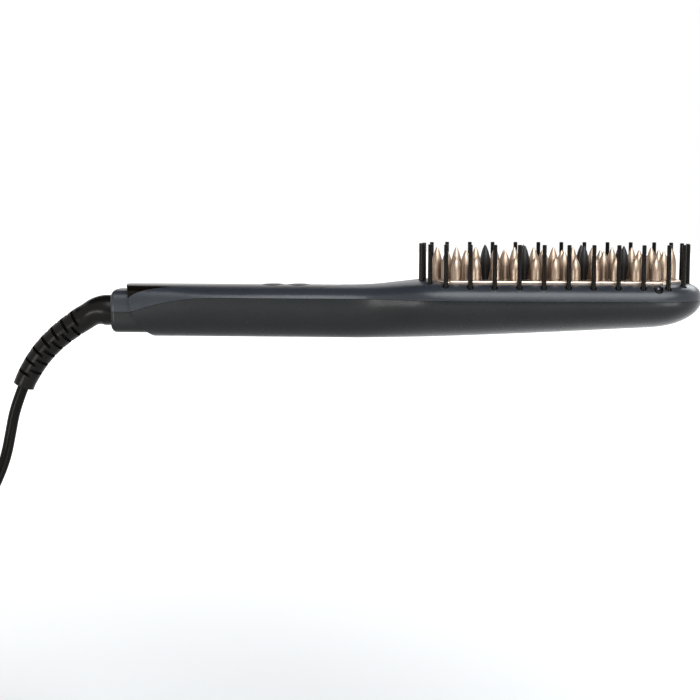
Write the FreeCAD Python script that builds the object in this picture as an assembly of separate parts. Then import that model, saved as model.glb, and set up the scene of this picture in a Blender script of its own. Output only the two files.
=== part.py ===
import FreeCAD, Part
import math
import os
from FreeCAD import Vector

# Heated hair brush, held by its handle. X runs from the cord end to the nose, Z up towards the bristles.
# The origin is in the middle of the grip, on the axis that the cord turns about. Millimetres.

# Body outline
nose_reach = 10.5
nose_length = 30.0
neck_start_x = 50.0
neck_overlap = 7.5
shell_start_x = -70.0
tail_end_x = -75.5
handle_half_width = 17.0
shell_start_half_width = 15.0
head_side_margin = 4.0
handle_top = 14.0
head_top = 17.3
handle_bottom = -13.4
head_bottom = -6.85
rest_flat_height = -13.1
rest_flat_start_x = -44.0
rest_flat_end_x = 50.0
wall = 2.2
boss_root_share = 0.75
# The upper and lower housings part along a line that dips to the middle of the tail
parting_height = 7.8
tail_parting_height = 0.0
dip_start_x = -64.5
dip_end_x = -20.0
seam_gap = 0.15
dip_shares = (0.0, 0.1, 0.25, 0.5, 0.75, 0.9, 1.0)
# The upper side leans in from the parting line, because its widest level lies under that line
widest_drop = 4.0
handle_upper_power = 2.6
head_upper_power = 3.7
tail_upper_power = 4.0
lower_power = 2.2
bottom_rise_power = 1.35
nose_plan_power = 2.5
handle_station_shares = (0.0, 0.09, 0.18, 0.27, 0.38, 0.6, 0.86, 1.0)
neck_station_shares = (0.2, 0.4, 0.6, 0.8, 1.0)
head_station_shares = (0.15, 0.4, 0.7, 1.0)
nose_turn_shares = (0.25, 0.47, 0.66, 0.81, 0.91, 0.96)
curve_steps = 5

# Tail block, in which the cord's swivel turns
tail_half_width = 12.6
tail_half_height = 11.3
tail_inner_x = -57.0
tail_edge_radius = 2.2
tail_power = 4.0
step_radius = 31.1
step_centre_x = -34.1
step_centre_height = 10.6
# At its top the shell's end bows out over the tail block
brow_radius = 31.4
brow_tip_x = -68.5
brow_height = 7.6

# Black control panel inlaid in the handle's top
panel_thickness = 1.2
panel_clearance = 0.1
panel_half_width = 9.4
panel_front_x = 44.0
panel_back_x = -70.5
panel_flare_x = -38.0
panel_flare_half_width = 15.25
panel_lowest = 7.0

# Buttons, their switches and the ready light
power_button_x = 8.0
temperature_button_x = 21.5
button_radius = 5.5
button_proud = 0.15
button_dish = 0.5
button_edge_round = 0.3
button_clearance = 0.25
button_flange_radius = 6.2
button_flange_thickness = 1.0
button_flange_drop = 0.5
button_post_radius = 1.5
button_travel = 0.7
switch_width = 6.0
switch_height = 2.6
plunger_radius = 1.6
plunger_proud = 1.0
plunger_depth = 1.2
plunger_clearance = 0.1
light_x = 35.0
light_radius = 1.2
light_flange_radius = 2.0
light_flange_thickness = 0.8
light_flange_drop = 0.1
light_clearance = 0.05
led_length = 3.0
led_width = 2.6
led_height = 1.6
led_gap = 0.4

# Control board
board_start_x = -32.0
board_end_x = 46.0
board_half_width = 11.0
board_thickness = 1.6
board_bottom = 3.4
board_post_radius = 2.2
board_screw_x_inset = 3.5
board_screw_y = 8.8
board_screw_shank = 0.95
board_screw_head = 1.8
board_screw_head_height = 1.3
board_screw_length = 6.0
thread_clearance = 0.03
capacitor_length = 16.0
capacitor_width = 8.0
capacitor_height = 4.6
capacitor_x = -22.0
triac_length = 9.0
triac_width = 10.0
triac_height = 3.8
triac_x = -7.0
chip_length = 8.0
chip_width = 5.0
chip_height = 1.5
chip_y = 7.5

# Heated head
plate_start_x = 88.5
plate_top = 17.55
plate_thickness = 3.0
plate_half_length = 63.0
plate_half_width = 20.5
plate_end_taper = 9.5
plate_side_taper = 12.5
plate_edge_round = 0.9
plate_corner_radius = 5.0
plate_clearance = 0.4
bristle_pitch = 9.8
bristle_rows = 2
bristle_row_share = 0.4
bristle_end_inset = 4.0
bristle_radius = 2.7
bristle_tip_radius = 0.25
bristle_shoulder_share = 0.42
bristle_heights = (15.9, 14.2, 11.25)
cool_columns = (2, 4, 7, 9)
cool_height = 16.9
cool_radius = 2.65
cool_foot_radius = 1.6
cool_stem_radius = 1.3
cool_stem_clearance = 0.1
cool_belly_share = 0.42
frame_top_inset = 0.6
frame_ring_width = 4.0
frame_flange_top = 9.0
frame_flange_thickness = 2.0
seat_ring_width = 1.6
pin_row_pitch = 12.0
pin_row_end_inset = 12.9
pin_end_margin = 4.0
pin_side_margin = 4.5
pin_path_radius = 18.0
pin_flange_margin = 1.2
corner_pin_inset = 5.5
end_pin_y = 9.0
end_pin_setback = 1.3
pin_top = 35.4
pin_base_radius = 1.2
pin_tip_radius = 1.02
pin_tip_chamfer = 0.2
pin_hole_radius = 1.75

# Heater under the plate
heater_end_inset = 21.0
heater_side_inset = 8.5
heater_thickness = 2.6
heater_gap = 6.0
sheet_thickness = 0.4
clamp_thickness = 1.2
clamp_clearance = 0.6
clamp_screw_inset = 13.0
clamp_screw_y = 9.0
clamp_boss_radius = 3.0
clamp_screw_shank = 1.25
clamp_screw_head = 2.3
clamp_screw_head_height = 1.4
clamp_screw_bite = 1.6
sheet_hole_clearance = 0.2
sensor_length = 4.0
sensor_width = 9.0
fuse_length = 12.0
fuse_width = 6.0
fuse_height = 3.0
fuse_offset_x = -20.0

# Ionizer
outlet_end_inset = 13.7
outlet_height = 14.1
outlet_radius = 2.3
outlet_bore = 1.7
outlet_back_wall = 1.0
outlet_clearance = 0.05
needle_radius = 0.4
needle_length = 2.4
module_length = 36.0
module_width = 18.0
module_height = 9.0
module_wire_gap = 8.2
module_bottom = -4.0
module_pad_length = 5.0
module_pad_spacing = 24.0

# Swivel that the cord turns in
bush_radius = 6.0
bush_clearance = 0.2
bush_bore = 1.8
bush_end_x = -39.0
bush_neck_radius = 3.4
bush_neck_x = -56.0
collar_radius = 8.4
collar_x = -67.0
collar_length = 4.0
mouth_depth = 3.4
ring_radius = 4.3
ring_width = 3.0
first_ring_x = -48.5
ring_spacing = 7.0
ring_fit = 0.03
holder_length = 12.0
holder_width = 11.0
holder_bottom = -9.0
holder_top = -6.4
contact_thickness = 0.4
contact_width = 2.4
contact_gap = 0.15
contact_reach = 0.8
contact_bend_y = 2.0
contact_foot_y = 7.4

# Wires inside
wire_radius = 0.8
wire_bend = 3.0
mains_wire_y = 5.7
mains_wire_level = -1.2
mains_wire_board_inset = 9.0
heater_wire_y = 4.5
heater_wire_level = 0.0
heater_wire_board_inset = 6.0
heater_wire_inset = 12.5

# Screws that hold the two housings together, in a line along the middle
back_screw_x = -35.5
middle_screw_x = 56.0
front_screw_x = 80.0
screw_boss_radius = 2.8
screw_shank = 1.25
screw_clearance_hole = 1.5
screw_head = 2.4
screw_head_hole = 2.6
screw_head_height = 1.8
screw_seat_height = -2.0
screw_bite = 3.4
screw_tip_room = 0.5

# Posts under the bristle frame, measured in from the plate's ends and from the guard pins' rows
frame_post_radius = 2.4
frame_post_end_inset = 17.0
frame_post_side_inset = 1.0

# Bend relief, a short straight neck and then three arcs in the plane of the body
boot_neck_radius = 7.9
boot_elbow_radius = 6.8
boot_end_radius = 5.6
boot_neck_end_x = -81.5
boot_first_bend = 14.0
boot_first_turn = 29.0
boot_second_bend = 125.0
boot_second_turn = 9.5
boot_third_bend = 70.0
boot_third_turn = 28.5
boot_clearance = 0.3
boot_steps = 4
slot_count = 13
slot_pitch = 3.3
slot_width = 1.7
slot_core_radius = 3.4
slot_start = 24.6
slot_lean = 30.0
slot_reach_share = 0.8

# Cord, coil, tie and plug
cord_diameter = 5.9
arc_run_share = 0.45
shortest_run = 0.01
coil_outer_radius = 39.4
coil_gap = 0.65
coil_layers = 4
coil_first_halves = 4
coil_next_halves = 3
coil_start = Vector(-153.4, -12.0, -143.0)
cord_first_run = 13.0
cord_route = [
    (-134.2, 0.0, -65.5), (-137.0, -1.2, -80.0), (-142.2, -4.6, -94.0),
    (-148.4, -8.8, -107.5), (-153.4, -12.0, -121.5),
]
tail_route = [
    (-153.4, 7.65, -155.0), (-155.6, 7.65, -167.0), (-159.6, 7.65, -178.5), (-161.8, 7.65, -190.0),
]
plug_entry = Vector(-161.8, 7.65, -202.0)
tie_width = 11.0
tie_thickness = 1.2
tie_clearance = 0.9
plug_boot_length = 20.0
plug_boot_tip_radius = 4.4
plug_boot_root_radius = 6.0
plug_width = 35.0
plug_depth = 13.8
plug_height = 21.0
plug_corner = 5.0
plug_edge_round = 2.0
plug_pin_chamfer = 0.6
plug_pin_radius = 2.0
plug_pin_length = 19.0
plug_pin_spacing = 18.6
plug_pin_root = 8.0
plug_pin_root_radius = 1.5

# One overrun for all cuts
overrun = 40.0

head_centre_x = plate_start_x + plate_half_length
plate_bottom = plate_top - plate_thickness
plate_straight_half = plate_half_length - plate_end_taper
plate_end_half = plate_half_width - plate_side_taper
bristle_row_pitch = plate_half_width * bristle_row_share
centre_row_count = int(2 * (plate_half_length - bristle_end_inset) / bristle_pitch) + 1
pin_path_half_length = plate_half_length + pin_end_margin
pin_path_half_width = plate_half_width + pin_side_margin
pin_row_count = int(2 * (pin_path_half_length - pin_row_end_inset) / pin_row_pitch) + 1
corner_pin_y = pin_path_half_width - corner_pin_inset
head_half_width = pin_path_half_width + head_side_margin
neck_end_x = plate_start_x + neck_overlap
nose_tip_x = head_centre_x + plate_half_length + nose_reach
nose_start_x = nose_tip_x - nose_length
heater_length = plate_half_length - heater_end_inset
heater_width = 2 * (plate_half_width - heater_side_inset)
heater_spacing = heater_length + heater_gap
clamp_screw_x = plate_half_length - clamp_screw_inset
frame_post_x = plate_half_length - frame_post_end_inset
frame_post_y = pin_path_half_width - frame_post_side_inset
outlet_x = head_centre_x + plate_half_length - outlet_end_inset
heater_wire_end_x = plate_start_x + heater_wire_inset
module_x = heater_wire_end_x + wire_radius + module_wire_gap + module_length / 2
board_top = board_bottom + board_thickness
flange_bottom = frame_flange_top - frame_flange_thickness
frame_half_length = pin_path_half_length + pin_flange_margin
frame_half_width = pin_path_half_width + pin_flange_margin
sheet_bottom = plate_bottom - heater_thickness - sheet_thickness
clamp_bottom = sheet_bottom - clamp_thickness
switch_top = board_top + switch_height
plunger_top = switch_top + plunger_proud
button_places = (power_button_x, temperature_button_x)
mouth_end_x = tail_end_x + mouth_depth
swivel_face_x = mouth_end_x - bush_clearance
ring_places = (first_ring_x, first_ring_x + ring_spacing)
holder_x = first_ring_x + ring_spacing / 2
contact_foot_top = holder_top + contact_thickness
outlet_back_y = plate_half_width + plate_clearance + outlet_back_wall
housing_screw_places = (back_screw_x, middle_screw_x, front_screw_x)
neck_run = swivel_face_x - boot_neck_end_x
boot_bends = (boot_first_bend, boot_second_bend, boot_third_bend)
boot_turns = (boot_first_turn, boot_second_turn, boot_third_turn)
boot_runs = [math.radians(turn) * bend for turn, bend in zip(boot_turns, boot_bends)]
taper_run = sum(boot_runs[1:])
boot_length = neck_run + sum(boot_runs)
cord_radius = cord_diameter / 2
coil_pitch = cord_diameter + coil_gap
plug_top = plug_entry.z - plug_boot_length
plug_bottom = plug_top - plug_height
axis_x = Vector(1, 0, 0)
axis_y = Vector(0, 1, 0)
axis_z = Vector(0, 0, 1)
outlet_end = Vector(outlet_x, -outlet_back_y, outlet_height)


def cylinder(radius, base, direction, height):
    return Part.makeCylinder(radius, height, base, direction)


def block(x_size, y_size, z_size, centre_x, centre_y, bottom):
    corner = Vector(centre_x - x_size / 2, centre_y - y_size / 2, bottom)
    return Part.makeBox(x_size, y_size, z_size, corner)


def mirror_pair(shape):
    return [shape, shape.mirror(Vector(0, 0, 0), axis_y)]


def ease(start, end, x):
    """A smooth rise from 0 at start to 1 at end."""
    share = min(max((x - start) / (end - start), 0.0), 1.0)
    return share * share * (3 - 2 * share)


def parting_at(x):
    """Height of the parting line: a climb from the tail that levels out along the handle."""
    left = min(max((dip_end_x - x) / (dip_end_x - dip_start_x), 0.0), 1.0)
    return parting_height - (parting_height - tail_parting_height) * left * left


def upper_power_at(x):
    """How square the upper side is at x: squarest at the tail, roundest in the handle."""
    head_gain = (head_upper_power - handle_upper_power) * ease(neck_start_x, neck_end_x, x)
    tail_gain = (tail_upper_power - handle_upper_power) * (1 - ease(dip_start_x, dip_end_x, x))
    return handle_upper_power + head_gain + tail_gain


def body_sizes(x, inset):
    """Half width, parting height, top, bottom and widest drop of the body at x, drawn in by inset."""
    neck = ease(neck_start_x, neck_end_x, x)
    taper = 1 - ease(shell_start_x, 0.0, x)
    half_width = handle_half_width + (head_half_width - handle_half_width) * neck
    half_width -= (handle_half_width - shell_start_half_width) * taper
    parting = parting_at(x)
    top = handle_top + (head_top - handle_top) * neck
    along = min(max((x - neck_start_x) / (nose_start_x - neck_start_x), 0.0), 1.0)
    bottom = handle_bottom + (head_bottom - handle_bottom) * along ** bottom_rise_power
    half_width -= inset
    rise = top - inset - parting
    depth = parting - bottom - inset
    drop = widest_drop
    if x > nose_start_x:
        turn = (x - nose_start_x) / (nose_length - inset)
        shrink = math.sqrt(max(1 - turn * turn, 0.0))
        crown = 1 - (1 - shrink) ** 2
        half_width *= max(1 - turn ** nose_plan_power, 0.0) ** (1 / nose_plan_power)
        depth *= shrink
        rise *= crown
        drop *= crown
    return half_width, parting, rise, depth, drop


def spline(points):
    curve = Part.BSplineCurve()
    curve.interpolate(points)
    return curve.toShape()


def body_section(x, inset):
    """Closed outline across the body: the upper side over the top, then the lower side underneath."""
    half_width, parting, rise, depth, drop = body_sizes(x, inset)
    height = rise + drop
    start_level = drop / height
    power = upper_power_at(x)
    widest = half_width / (1 - start_level ** power) ** (1 / power)
    start_turn = math.asin(start_level ** (power / 2))
    upper = []
    for step in range(-curve_steps, curve_steps + 1):
        turn = math.pi / 2 - (math.pi / 2 - start_turn) * abs(step) / curve_steps
        across = widest * math.cos(turn) ** (2 / power) if step else 0.0
        level = parting - drop + height * math.sin(turn) ** (2 / power)
        upper.append(Vector(x, math.copysign(across, step), level))
    upper[0] = Vector(x, -half_width, parting)
    upper[-1] = Vector(x, half_width, parting)
    lower = []
    for step in range(curve_steps, -curve_steps - 1, -1):
        turn = math.pi / 2 * (1 - abs(step) / curve_steps)
        across = half_width * math.cos(turn) ** (2 / lower_power) if step else 0.0
        level = parting - depth * math.sin(turn) ** (2 / lower_power)
        lower.append(Vector(x, math.copysign(across, step), level))
    return Part.Wire([spline(upper), spline(lower)])


def between(start, end, shares):
    return [start + (end - start) * share for share in shares]


def body_skin(inset):
    """The whole body as one solid, drawn in by inset."""
    stations = between(shell_start_x, neck_start_x, handle_station_shares)
    stations += between(neck_start_x, neck_end_x, neck_station_shares)
    stations += between(neck_end_x, nose_start_x, head_station_shares)
    for share in nose_turn_shares:
        stations.append(nose_start_x + (nose_length - inset) * math.sin(share * math.pi / 2))
    return Part.makeLoft([body_section(x, inset) for x in stations], True, False)


def side_prism(edges):
    """A closed outline in the plane of the body, drawn out to both sides."""
    face = Part.Face(Part.Wire(edges))
    face.translate(Vector(0, -overrun, 0))
    return face.extrude(Vector(0, 2 * overrun, 0))


def above_parting(lift):
    """All the space above the parting line, raised by lift."""
    stations = between(dip_start_x, dip_end_x, dip_shares)
    curve = spline([Vector(x, 0, parting_at(x) + lift) for x in stations])
    far_left = tail_end_x - overrun
    far_right = nose_tip_x + overrun
    ceiling = pin_top + overrun
    left_low = Vector(far_left, 0, tail_parting_height + lift)
    right_low = Vector(far_right, 0, parting_height + lift)
    left_high = Vector(far_left, 0, ceiling)
    right_high = Vector(far_right, 0, ceiling)
    dip_left = Vector(dip_start_x, 0, tail_parting_height + lift)
    dip_right = Vector(dip_end_x, 0, parting_height + lift)
    outline = [
        Part.makeLine(left_low, dip_left), curve, Part.makeLine(dip_right, right_low),
        Part.makeLine(right_low, right_high), Part.makeLine(right_high, left_high),
        Part.makeLine(left_high, left_low),
    ]
    return side_prism(outline)


def left_of_step(shift):
    """All the space on the tail side of the round edge where the shell ends over the tail block."""
    length = step_centre_x - tail_end_x + overrun
    middle_x = step_centre_x - length / 2
    space = block(length, 2 * overrun, 2 * overrun, middle_x, 0, -overrun)
    edge_start = Vector(step_centre_x, -overrun, step_centre_height)
    edge = cylinder(step_radius - shift, edge_start, axis_y, 2 * overrun)
    brow_bottom = Vector(brow_tip_x + brow_radius, 0, brow_height + shift)
    brow = cylinder(brow_radius - shift, brow_bottom, axis_z, overrun)
    return space.cut([edge, brow])


def tail_block():
    points = []
    for step in range(4 * curve_steps):
        turn = 2 * math.pi * step / (4 * curve_steps)
        across = math.copysign(abs(math.cos(turn)) ** (2 / tail_power), math.cos(turn)) * tail_half_width
        level = math.copysign(abs(math.sin(turn)) ** (2 / tail_power), math.sin(turn)) * tail_half_height
        points.append(Vector(tail_end_x, across, level))
    outline = Part.BSplineCurve()
    outline.interpolate(points, True)
    blank = Part.Face(Part.Wire(outline.toShape())).extrude(Vector(tail_inner_x - tail_end_x, 0, 0))
    end_edges = [edge for edge in blank.Edges if edge.BoundBox.XMax < tail_end_x + tail_edge_radius / 2]
    return blank.makeFillet(tail_edge_radius, end_edges)


def tail_bores():
    mouth = cylinder(boot_neck_radius + boot_clearance, Vector(tail_end_x - overrun, 0, 0), axis_x,
                     overrun + mouth_depth)
    through = cylinder(bush_radius + bush_clearance, Vector(mouth_end_x, 0, 0), axis_x,
                       tail_inner_x - mouth_end_x + wall)
    groove = cylinder(collar_radius + bush_clearance, Vector(collar_x - bush_clearance, 0, 0), axis_x,
                      collar_length + 2 * bush_clearance)
    return [mouth, through, groove]


def plate_outline(offset, bottom, height):
    """The plate's long eight-sided outline, grown by offset, as a solid."""
    end_run = plate_half_length - plate_straight_half
    side_run = plate_half_width - plate_end_half
    slope = math.hypot(end_run, side_run)
    half_length = plate_half_length + offset
    half_width = plate_half_width + offset
    straight = plate_straight_half + offset * (slope - end_run) / side_run
    end_half = plate_end_half + offset * (slope - side_run) / end_run
    quarter = [(half_length, end_half), (straight, half_width)]
    corners = quarter + [(-x, y) for x, y in reversed(quarter)]
    corners += [(-x, -y) for x, y in quarter] + [(x, -y) for x, y in reversed(quarter)]
    points = [Vector(head_centre_x + x, y, bottom) for x, y in corners]
    return Part.Face(Part.makePolygon(points + points[:1])).extrude(Vector(0, 0, height))


def pin_places():
    """Guard pins along both sides and round both ends, on one rounded outline."""
    flat_x = pin_path_half_length - pin_path_radius
    flat_y = pin_path_half_width - pin_path_radius
    places = []
    for index in range(pin_row_count):
        x = pin_row_pitch * (index - (pin_row_count - 1) / 2)
        beyond = max(abs(x) - flat_x, 0.0)
        y = flat_y + math.sqrt(pin_path_radius ** 2 - beyond ** 2)
        places += [(x, y), (x, -y)]
    corner_x = flat_x + math.sqrt(pin_path_radius ** 2 - (corner_pin_y - flat_y) ** 2)
    for x, y in ((corner_x, corner_pin_y), (pin_path_half_length - end_pin_setback, end_pin_y)):
        places += [(x, y), (x, -y), (-x, y), (-x, -y)]
    places += [(pin_path_half_length, 0), (-pin_path_half_length, 0)]
    return [(head_centre_x + x, y) for x, y in places]


def surface_height(x, y, inset):
    """Height of the body's upper side at x and y."""
    half_width, parting, rise, depth, drop = body_sizes(x, inset)
    height = rise + drop
    power = upper_power_at(x)
    widest = half_width / (1 - (drop / height) ** power) ** (1 / power)
    return parting - drop + height * (1 - abs(y / widest) ** power) ** (1 / power)


def panel_prism(offset):
    """Plan outline of the control panel, drawn up through the handle's top."""
    half_width = panel_half_width + offset
    flare_half = panel_flare_half_width + offset
    front_x = panel_front_x + offset
    back_x = panel_back_x - offset
    level = panel_lowest - offset
    right = [Vector(back_x, -flare_half, level), Vector(panel_flare_x, -half_width, level),
             Vector(front_x - half_width, -half_width, level)]
    left = [Vector(point.x, -point.y, level) for point in right]
    outline = [
        Part.makeLine(right[0], right[1]), Part.makeLine(right[1], right[2]),
        Part.Arc(right[2], Vector(front_x, 0, level), left[2]).toShape(), Part.makeLine(left[2], left[1]),
        Part.makeLine(left[1], left[0]), Part.makeLine(left[0], right[0]),
    ]
    return Part.Face(Part.Wire(outline)).extrude(Vector(0, 0, overrun))


def screw_places():
    """Each housing screw's place, with the height where the two bosses meet."""
    return [(x, parting_at(x)) for x in housing_screw_places]


def board_screw_places():
    left = board_start_x + board_screw_x_inset
    right = board_end_x - board_screw_x_inset
    return [(x, y) for x in (left, right) for y in (board_screw_y, -board_screw_y)]


def upper_housing(shell, core, pocket):
    opening_bottom = frame_flange_top
    seat_height = plate_top - opening_bottom
    seat = plate_outline(plate_clearance + seat_ring_width, opening_bottom, seat_height)
    bosses = [cylinder(screw_boss_radius, Vector(x, 0, joint), axis_z, overrun)
              for x, joint in screw_places()]
    shell = shell.fuse(seat.fuse(bosses).common(core))
    cuts = [plate_outline(plate_clearance, flange_bottom, overrun)]
    cuts += [cylinder(pin_hole_radius, Vector(x, y, flange_bottom), axis_z, overrun) for x, y in pin_places()]
    cuts += mirror_pair(cylinder(outlet_radius, outlet_end, -axis_y, overrun))
    cuts.append(pocket)
    for x in button_places:
        cuts.append(cylinder(button_radius + button_clearance, Vector(x, 0, 0), axis_z, overrun))
    cuts.append(cylinder(light_radius + light_clearance, Vector(light_x, 0, 0), axis_z, overrun))
    for x, joint in screw_places():
        depth = screw_bite + screw_tip_room
        cuts.append(cylinder(screw_shank + thread_clearance, Vector(x, 0, joint), axis_z, depth))
    return shell.cut(cuts)


def lower_housing(shell, core):
    columns = []
    for x, joint in screw_places():
        columns.append(cylinder(screw_boss_radius, Vector(x, 0, joint - overrun), axis_z, overrun))
    for x, y in board_screw_places():
        columns.append(cylinder(board_post_radius, Vector(x, y, board_bottom - overrun), axis_z, overrun))
    for x in (head_centre_x - frame_post_x, head_centre_x + frame_post_x):
        for y in (frame_post_y, -frame_post_y):
            foot = Vector(x, y, flange_bottom - overrun)
            columns.append(cylinder(frame_post_radius, foot, axis_z, overrun))
    for x in (module_x - module_pad_spacing / 2, module_x + module_pad_spacing / 2):
        columns.append(block(module_pad_length, module_width, overrun, x, 0, module_bottom - overrun))
    columns.append(block(holder_length, holder_width, overrun, holder_x, 0, holder_bottom - overrun))
    shell = shell.fuse(columns[0].fuse(columns[1:]).common(core))
    cuts = []
    for x, joint in screw_places():
        cuts.append(cylinder(screw_clearance_hole, Vector(x, 0, joint - overrun), axis_z, 2 * overrun))
        cuts.append(cylinder(screw_head_hole, Vector(x, 0, screw_seat_height - overrun), axis_z, overrun))
    for x, y in board_screw_places():
        depth = board_screw_length + screw_tip_room
        cuts.append(cylinder(board_screw_shank + thread_clearance, Vector(x, y, board_bottom - depth),
                             axis_z, depth))
    flat_length = rest_flat_end_x - rest_flat_start_x
    flat_middle = (rest_flat_start_x + rest_flat_end_x) / 2
    cuts.append(block(flat_length, 2 * handle_half_width, overrun, flat_middle, 0,
                      rest_flat_height - overrun))
    return shell.cut(cuts)


def housings(skin):
    """Both housings and the control panel, all cut from one body."""
    outer = skin.cut(left_of_step(0.0))
    inner = body_skin(wall).cut(left_of_step(wall)).cut(tail_block())
    panel = outer.cut(body_skin(panel_thickness))
    pocket = panel.common(panel_prism(panel_clearance))
    shell = outer.fuse(tail_block()).cut(tail_bores()).cut(inner)
    core = body_skin(wall * boss_root_share)
    upper = upper_housing(shell.common(above_parting(seam_gap / 2)), core, pocket)
    lower = lower_housing(shell.cut(above_parting(-seam_gap / 2)), core)
    holes = [cylinder(button_radius + button_clearance, Vector(x, 0, 0), axis_z, overrun)
             for x in button_places]
    holes.append(cylinder(light_radius + light_clearance, Vector(light_x, 0, 0), axis_z, overrun))
    return upper, lower, panel.common(panel_prism(0.0)).cut(holes)


def turned(outline, base):
    """A solid of revolution about a vertical axis through base, from (radius, height) points."""
    points = [base + Vector(radius, 0, height) for radius, height in outline]
    face = Part.Face(Part.makePolygon(points + points[:1]))
    return face.revolve(base, axis_z, 360)


def ogive(lower, shoulder_radius, shoulder_height, tip_radius, height, base):
    """A turned bristle: straight-sided below its shoulder, then one arc up to a small flat tip."""
    drop_in = shoulder_radius - tip_radius
    rise = height - shoulder_height
    arc_radius = (rise * rise + drop_in * drop_in) / (2 * drop_in)
    half_rise = rise / 2
    middle_radius = shoulder_radius - arc_radius + math.sqrt(arc_radius ** 2 - half_rise ** 2)
    points = [base + Vector(radius, 0, level) for radius, level in lower]
    shoulder = base + Vector(shoulder_radius, 0, shoulder_height)
    middle = base + Vector(middle_radius, 0, shoulder_height + half_rise)
    tip = base + Vector(tip_radius, 0, height)
    top = base + Vector(0, 0, height)
    edges = [Part.makeLine(start, end) for start, end in zip(points, points[1:] + [shoulder])]
    edges += [Part.Arc(shoulder, middle, tip).toShape(), Part.makeLine(tip, top),
              Part.makeLine(top, points[0])]
    return Part.Face(Part.Wire(edges)).revolve(base, axis_z, 360)


def bristle_places():
    """Bristle places in staggered rows, as (x, y, row distance, is cool)."""
    places = []
    for row in range(-bristle_rows, bristle_rows + 1):
        count = centre_row_count - abs(row)
        for column in range(count):
            x = head_centre_x + bristle_pitch * (column - (count - 1) / 2)
            cool = abs(row) == 1 and column in cool_columns
            places.append((x, bristle_row_pitch * row, abs(row), cool))
    return places


def heated_bristles():
    solids = []
    for x, y, row, cool in bristle_places():
        if not cool:
            height = bristle_heights[row]
            lower = [(0, 0), (bristle_radius, 0)]
            solids.append(ogive(lower, bristle_radius, height * bristle_shoulder_share, bristle_tip_radius,
                                height, Vector(x, y, plate_top)))
    return Part.makeCompound(solids)


def cool_tip_bristles():
    lower = [(0, -plate_thickness), (cool_stem_radius, -plate_thickness), (cool_stem_radius, 0),
             (cool_foot_radius, 0)]
    solids = []
    for x, y, row, cool in bristle_places():
        if cool:
            solids.append(ogive(lower, cool_radius, cool_height * cool_belly_share, bristle_tip_radius,
                                cool_height, Vector(x, y, plate_top)))
    return Part.makeCompound(solids)


def guard_pins():
    height = pin_top - frame_flange_top
    outline = [(0, 0), (pin_base_radius, 0), (pin_tip_radius, height - pin_tip_chamfer),
               (pin_tip_radius - pin_tip_chamfer, height), (0, height)]
    return Part.makeCompound([turned(outline, Vector(x, y, frame_flange_top)) for x, y in pin_places()])


def clamp_screw_places():
    return [(head_centre_x + x, y) for x in (-clamp_screw_x, clamp_screw_x)
            for y in (-clamp_screw_y, clamp_screw_y)]


def heating_plate():
    plate = plate_outline(0.0, plate_bottom, plate_thickness)
    upright = [edge for edge in plate.Edges if edge.BoundBox.ZLength > plate_thickness / 2]
    plate = plate.makeFillet(plate_corner_radius, upright)
    rim = [edge for edge in plate.Edges if edge.BoundBox.ZMin > plate_top - plate_edge_round]
    plate = plate.makeFillet(plate_edge_round, rim)
    bosses = []
    cuts = []
    for x, y in clamp_screw_places():
        boss_bottom = Vector(x, y, plate_bottom - heater_thickness)
        bosses.append(cylinder(clamp_boss_radius, boss_bottom, axis_z, heater_thickness))
        cuts.append(cylinder(clamp_screw_shank + thread_clearance, boss_bottom, axis_z,
                             heater_thickness + clamp_screw_bite))
    for x, y, row, cool in bristle_places():
        if cool:
            cuts.append(cylinder(cool_stem_radius + cool_stem_clearance, Vector(x, y, plate_bottom), axis_z,
                                 plate_thickness))
    return plate.fuse(bosses).cut(cuts)


def bristle_frame():
    inner_offset = -frame_top_inset - frame_ring_width
    ring = plate_outline(-frame_top_inset, frame_flange_top, plate_bottom - frame_flange_top)
    flange = block(2 * frame_half_length, 2 * frame_half_width, frame_flange_thickness, head_centre_x, 0,
                   flange_bottom)
    upright = [edge for edge in flange.Edges if edge.BoundBox.ZLength > frame_flange_thickness / 2]
    flange = flange.makeFillet(pin_path_radius + pin_flange_margin, upright)
    return ring.fuse(flange).cut(plate_outline(inner_offset, flange_bottom, overrun))


def ptc_heaters():
    bottom = plate_bottom - heater_thickness
    return Part.makeCompound([block(heater_length, heater_width, heater_thickness,
                                    head_centre_x + side * heater_spacing / 2, 0, bottom)
                              for side in (-1, 1)])


def pierced_sheet(bottom, thickness):
    """A thin plate under the heaters, inside the bristle frame, with its four screw holes."""
    sheet = plate_outline(-frame_top_inset - frame_ring_width - clamp_clearance, bottom, thickness)
    holes = [cylinder(clamp_screw_shank + sheet_hole_clearance, Vector(x, y, bottom), axis_z, thickness)
             for x, y in clamp_screw_places()]
    return sheet.cut(holes)


def screw(x, y, seat, head_radius, head_height, shank_radius, shank_length):
    """A screw that stands head down, with its head's face on the seat."""
    head = cylinder(head_radius, Vector(x, y, seat - head_height), axis_z, head_height)
    return head.fuse(cylinder(shank_radius, Vector(x, y, seat), axis_z, shank_length)).removeSplitter()


def clamp_screws():
    length = plate_bottom + clamp_screw_bite - clamp_bottom
    return Part.makeCompound([screw(x, y, clamp_bottom, clamp_screw_head, clamp_screw_head_height,
                                    clamp_screw_shank, length) for x, y in clamp_screw_places()])


def housing_screws():
    return Part.makeCompound([screw(x, 0, screw_seat_height, screw_head, screw_head_height, screw_shank,
                                    joint + screw_bite - screw_seat_height) for x, joint in screw_places()])


def board_screws():
    solids = []
    for x, y in board_screw_places():
        head = cylinder(board_screw_head, Vector(x, y, board_top), axis_z, board_screw_head_height)
        length = board_screw_length + board_thickness
        shank = cylinder(board_screw_shank, Vector(x, y, board_top - length), axis_z, length)
        solids.append(head.fuse(shank).removeSplitter())
    return Part.makeCompound(solids)


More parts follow.
